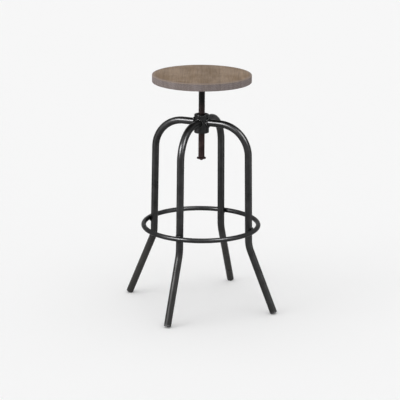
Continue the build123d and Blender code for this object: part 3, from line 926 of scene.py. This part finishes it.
class STOOL_OT_legs(bpy.types.Operator):
    """Bend the four leg tubes: arm, shoulder bend, upright, knee bend and splayed foot"""

    bl_idname = "stool.legs"
    bl_label = "Legs"

    def execute(self, context):
        metal = context.scene.stool_metal
        pattern = self.bend_tube(metal)
        for corner, angle in LEG_ANGLES.items():
            leg = pattern.copy()
            leg.data = pattern.data.copy()
            leg.name = f"leg_{corner}_tube"
            leg.rotation_euler.z = math.radians(angle)
            context.collection.objects.link(leg)
            settle(leg)
            dress(leg, "frame_paint")
            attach(leg, "frame")
            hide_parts(f"leg_{corner}")
        bpy.data.objects.remove(pattern)
        return {"FINISHED"}

    def bend_tube(self, metal):
        """Sweep a circle along the route of a leg that points along +X."""
        lean = math.atan(upright_lean(metal))
        shoulder_turn = math.pi / 2 - lean
        knee_turn = metal.leg_splay - lean
        shoulder_run = metal.shoulder_bend * math.tan(shoulder_turn / 2)
        knee_run = metal.knee_bend * math.tan(knee_turn / 2)
        upright = Vector((math.sin(lean), 0, -math.cos(lean)))
        foot = Vector((math.sin(metal.leg_splay), 0, -math.cos(metal.leg_splay)))
        arm_start = Vector((metal.arm_start, 0, metal.arm_height))
        shoulder = Vector((metal.shoulder_radius, 0, metal.arm_height))
        knee = Vector((metal.knee_radius, 0, metal.knee_height))
        arm_end = shoulder - Vector((shoulder_run, 0, 0))
        upright_start = shoulder + upright * shoulder_run
        upright_end = knee - upright * knee_run
        foot_start = knee + foot * knee_run
        foot_length = (foot_start.z - metal.leg_end_height) / math.cos(metal.leg_splay)
        deselect_all()
        bpy.ops.mesh.primitive_circle_add(
            vertices=TUBE_SIDES, radius=metal.tube_radius, location=arm_start, rotation=(0, math.pi / 2, 0),
        )
        tube = bpy.context.object
        settle(tube)
        bpy.ops.object.mode_set(mode="EDIT")
        bpy.ops.mesh.select_all(action="SELECT")
        self.extend(arm_end - arm_start)
        self.bend(shoulder_turn, arm_end - Vector((0, 0, metal.shoulder_bend)), (0, -1, 0), SHOULDER_STEPS)
        self.extend(upright_end - upright_start)
        knee_side = Vector((-upright.z, 0, upright.x))
        self.bend(knee_turn, upright_end + knee_side * metal.knee_bend, (0, 1, 0), KNEE_STEPS)
        self.extend(foot * foot_length)
        bpy.ops.mesh.select_all(action="SELECT")
        bpy.ops.mesh.fill_holes(sides=0)
        bpy.ops.mesh.normals_make_consistent(inside=False)
        bpy.ops.object.mode_set(mode="OBJECT")
        bpy.ops.object.shade_smooth_by_angle(angle=TUBE_SHARP)
        return tube

    def extend(self, move):
        """Carry the open end of the tube straight on."""
        bpy.ops.mesh.extrude_region_move(TRANSFORM_OT_translate={"value": move})

    def bend(self, angle, center, axis, steps):
        """Carry the open end of the tube round a bend."""
        bpy.ops.mesh.spin(steps=steps, angle=angle, center=center, axis=axis)


class STOOL_OT_hub_beads(bpy.types.Operator):
    """Lay a rippled weld bead round each arm where it meets the hub"""

    bl_idname = "stool.hub_beads"
    bl_label = "Hub Beads"

    def execute(self, context):
        metal = context.scene.stool_metal
        drop = ripple("hub_ripple", metal.hub_bead)
        lift = metal.hub_bead * HUB_BEAD_LIFT
        places = []
        for angle in LEG_ANGLES.values():
            out = outward(angle)
            side = outward(angle + 90)
            path = []
            for step in range(HUB_RIPPLES):
                turn = 2 * math.pi * step / HUB_RIPPLES
                across = (metal.tube_radius + lift) * math.cos(turn)
                up = (metal.tube_radius + lift) * math.sin(turn)
                reach = math.sqrt((HUB_RADIUS + lift) ** 2 - across ** 2)
                path.append(out * reach + side * across + Vector((0, 0, metal.arm_height + up)))
            for step, place in enumerate(path):
                places.append((place, path[(step + 1) % HUB_RIPPLES] - path[step - 1]))
        beads = lay_ripples("hub_weld_beads", drop, places)
        bpy.data.objects.remove(drop)
        dress(beads, "weld_paint")
        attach(beads, "frame")
        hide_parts("hub_welds")
        return {"FINISHED"}


class STOOL_OT_ring_beads(bpy.types.Operator):
    """Lay rippled weld beads above and below the foot ring at each leg"""

    bl_idname = "stool.ring_beads"
    bl_label = "Ring Beads"

    def execute(self, context):
        metal = context.scene.stool_metal
        drop = ripple("ring_ripple", metal.ring_bead)
        leg_radius = RING_RADIUS - RING_TUBE_RADIUS - metal.tube_radius
        bead_reach = metal.tube_radius + metal.ring_bead * RING_BEAD_REACH
        bead_rise = RING_TUBE_RADIUS - metal.ring_bead * RING_BEAD_SINK
        places = []
        for angle in LEG_ANGLES.values():
            out = outward(angle)
            side = outward(angle + 90)
            for level in (-1, 1):
                rise = level * bead_rise
                middle = out * (leg_radius - upright_lean(metal) * rise) + Vector((0, 0, RING_HEIGHT + rise))
                for step in range(RING_RIPPLES):
                    turn = RING_BEAD_SPAN * (2 * step / (RING_RIPPLES - 1) - 1)
                    place = middle + bead_reach * (math.cos(turn) * out + math.sin(turn) * side)
                    places.append((place, math.cos(turn) * side - math.sin(turn) * out))
        beads = lay_ripples("ring_weld_beads", drop, places)
        bpy.data.objects.remove(drop)
        dress(beads, "weld_paint")
        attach(beads, "frame")
        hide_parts("ring_welds")
        return {"FINISHED"}


class STOOL_OT_stage(bpy.types.Operator):
    """Add the pale floor, the light and the camera"""

    bl_idname = "stool.stage"
    bl_label = "Stage"

    def execute(self, context):
        scene = context.scene
        stage = scene.stool_stage
        scene.view_settings.view_transform = "Standard"
        self.add_floor(stage)
        self.add_sky(scene, stage)
        self.add_lamps(stage)
        self.add_camera(scene, stage)
        return {"FINISHED"}

    def add_floor(self, stage):
        """A wide pale floor that fills the picture."""
        deselect_all()
        bpy.ops.mesh.primitive_circle_add(
            vertices=FLOOR_SIDES, radius=FLOOR_RADIUS, fill_type="NGON", location=(0, 0, -FLOOR_DROP),
        )
        floor = bpy.context.object
        floor.name = "floor"
        _, shader = new_finish("floor_paper")
        shader.inputs["Base Color"].default_value = (*stage.floor_color, 1.0)
        shader.inputs["Roughness"].default_value = 1.0
        shader.inputs["Specular IOR Level"].default_value = 0.0
        dress(floor, "floor_paper")

    def add_sky(self, scene, stage):
        """Even light from all around; the camera and reflections see the floor's colour instead."""
        world = bpy.data.worlds.new("studio")
        scene.world = world
        world.use_nodes = True
        tree = world.node_tree
        light = tree.nodes["Background"]
        light.inputs["Color"].default_value = WHITE
        light.inputs["Strength"].default_value = stage.sky_level
        backdrop = shader_node(
            tree, "ShaderNodeBackground", Color=(*stage.floor_color, 1.0), Strength=1.0,
        )
        rays = shader_node(tree, "ShaderNodeLightPath")
        seen = arithmetic(tree, "MAXIMUM", (rays, "Is Camera Ray"), (rays, "Is Glossy Ray"))
        seen = arithmetic(tree, "MAXIMUM", seen, (rays, "Is Transmission Ray"))
        choice = shader_node(tree, "ShaderNodeMixShader")
        feed(tree, seen, choice.inputs["Fac"])
        feed(tree, (light, "Background"), choice.inputs[1])
        feed(tree, (backdrop, "Background"), choice.inputs[2])
        feed(tree, (choice, "Shader"), tree.nodes["World Output"].inputs["Surface"])

    def add_lamps(self, stage):
        """A wide lamp overhead, a low one on the left, and softboxes that show as highlights only."""
        overhead = self.add_lamp(stage, "SUN", "overhead_lamp", OVERHEAD_PLACE)
        overhead.data.energy = stage.overhead_level
        overhead.data.angle = stage.overhead_spread
        side = self.add_lamp(stage, "SUN", "side_lamp", SIDE_PLACE)
        side.data.energy = stage.side_level
        side.data.angle = stage.side_spread
        side.visible_glossy = False
        for box in SOFTBOXES:
            lamp = self.add_lamp(stage, "AREA", box.name, box.place, box.distance)
            lamp.data.shape = "RECTANGLE"
            lamp.data.size, lamp.data.size_y = box.size
            lamp.data.energy = getattr(stage, box.glow) * LAMP_POWER * box.size[0] * box.size[1]
            lamp.visible_diffuse = False

    def add_lamp(self, stage, kind, name, place, distance=LAMP_DISTANCE):
        """A lamp at a distance from the stool, turned to face it."""
        turn, rise = place
        level = outward(math.degrees(stage.view_angle) - 90 + turn)
        direction = level * math.cos(math.radians(rise)) + Vector((0, 0, math.sin(math.radians(rise))))
        deselect_all()
        bpy.ops.object.light_add(type=kind, location=direction * distance + LAMP_AIM)
        lamp = bpy.context.object
        lamp.name = name
        lamp.rotation_euler = direction.to_track_quat("Z", "Y").to_euler()
        return lamp

    def add_camera(self, scene, stage):
        """The camera at the photograph's viewing angle."""
        data = bpy.data.cameras.new("camera")
        data.lens = stage.lens
        data.sensor_width = SENSOR_WIDTH
        data.clip_end = FAR_CLIP
        camera = bpy.data.objects.new("camera", data)
        scene.collection.objects.link(camera)
        place = Vector((
            math.sin(stage.view_angle) * stage.camera_distance,
            -math.cos(stage.view_angle) * stage.camera_distance,
            stage.camera_height,
        ))
        turn = Matrix.Rotation(stage.view_angle + stage.camera_yaw, 4, "Z")
        tilt = Matrix.Rotation(math.pi / 2 - stage.camera_pitch, 4, "X")
        roll = Matrix.Rotation(stage.camera_roll, 4, "Z")
        camera.matrix_world = Matrix.Translation(place) @ turn @ tilt @ roll
        scene.camera = camera


class STOOL_PT_panel(bpy.types.Panel):
    """Sidebar panel that lists the steps and their settings"""

    bl_idname = "STOOL_PT_panel"
    bl_label = "Industrial Stool"
    bl_space_type = "VIEW_3D"
    bl_region_type = "UI"
    bl_category = "Stool"

    def draw(self, context):
        layout = self.layout
        for operator in OPERATORS:
            layout.operator(operator.bl_idname)
        for name in SETTINGS:
            settings = getattr(context.scene, name)
            box = layout.box()
            for key in settings.bl_rna.properties.keys():
                if key not in ("rna_type", "name"):
                    box.prop(settings, key)


SETTINGS = {
    "stool_seat": StoolSeatSettings,
    "stool_metal": StoolMetalSettings,
    "stool_stage": StoolStageSettings,
}
OPERATORS = (
    STOOL_OT_finish_frame,
    STOOL_OT_seat_board,
    STOOL_OT_lift_screw,
    STOOL_OT_legs,
    STOOL_OT_hub_beads,
    STOOL_OT_ring_beads,
    STOOL_OT_stage,
)


def register():
    for name, settings in SETTINGS.items():
        bpy.utils.register_class(settings)
        setattr(bpy.types.Scene, name, PointerProperty(type=settings))
    for operator in OPERATORS:
        bpy.utils.register_class(operator)
    bpy.utils.register_class(STOOL_PT_panel)


def unregister():
    bpy.utils.unregister_class(STOOL_PT_panel)
    for operator in reversed(OPERATORS):
        bpy.utils.unregister_class(operator)
    for name, settings in SETTINGS.items():
        delattr(bpy.types.Scene, name)
        bpy.utils.unregister_class(settings)


def main():
    register()
    bpy.ops.stool.finish_frame()
    bpy.ops.stool.seat_board()
    bpy.ops.stool.lift_screw()
    bpy.ops.stool.legs()
    bpy.ops.stool.hub_beads()
    bpy.ops.stool.ring_beads()
    bpy.ops.stool.stage()


if __name__ == "__main__":
    main()
